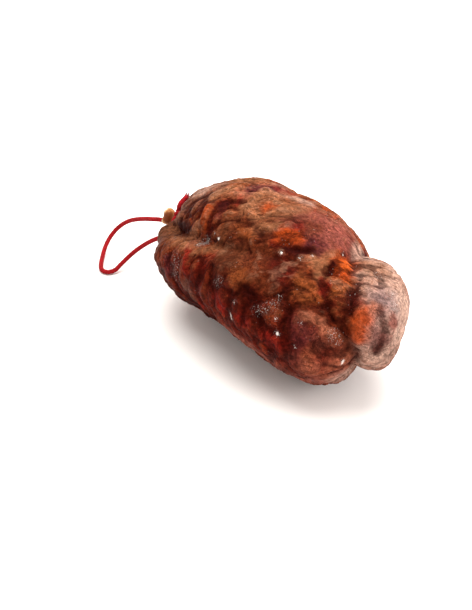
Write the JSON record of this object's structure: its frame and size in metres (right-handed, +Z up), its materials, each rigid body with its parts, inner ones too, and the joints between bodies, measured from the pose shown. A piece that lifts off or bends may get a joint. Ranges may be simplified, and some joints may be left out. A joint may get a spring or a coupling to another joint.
{
  "type": "cured sausage",
  "caption": "Thick dry-cured sausage in lumpy natural casing, gathered and tied at its end with a loop of red string.",
  "frame": {"origin": "middle of the sausage with its gathered neck, seen from above, on the surface it rests on", "axes": "+X along the sausage from the tied end to the blind end, -Y the front, +Z up"},
  "size_m": [0.2475, 0.0998, 0.0946],
  "materials": {
    "casing": "dried natural casing over dark red meat, slightly oily sheen",
    "string": "twisted red cotton string"
  },
  "bodies": {
    "root": {"sausage": "casing", "string_tie": "string", "string_loop": "string"}
  },
  "joints": []
}
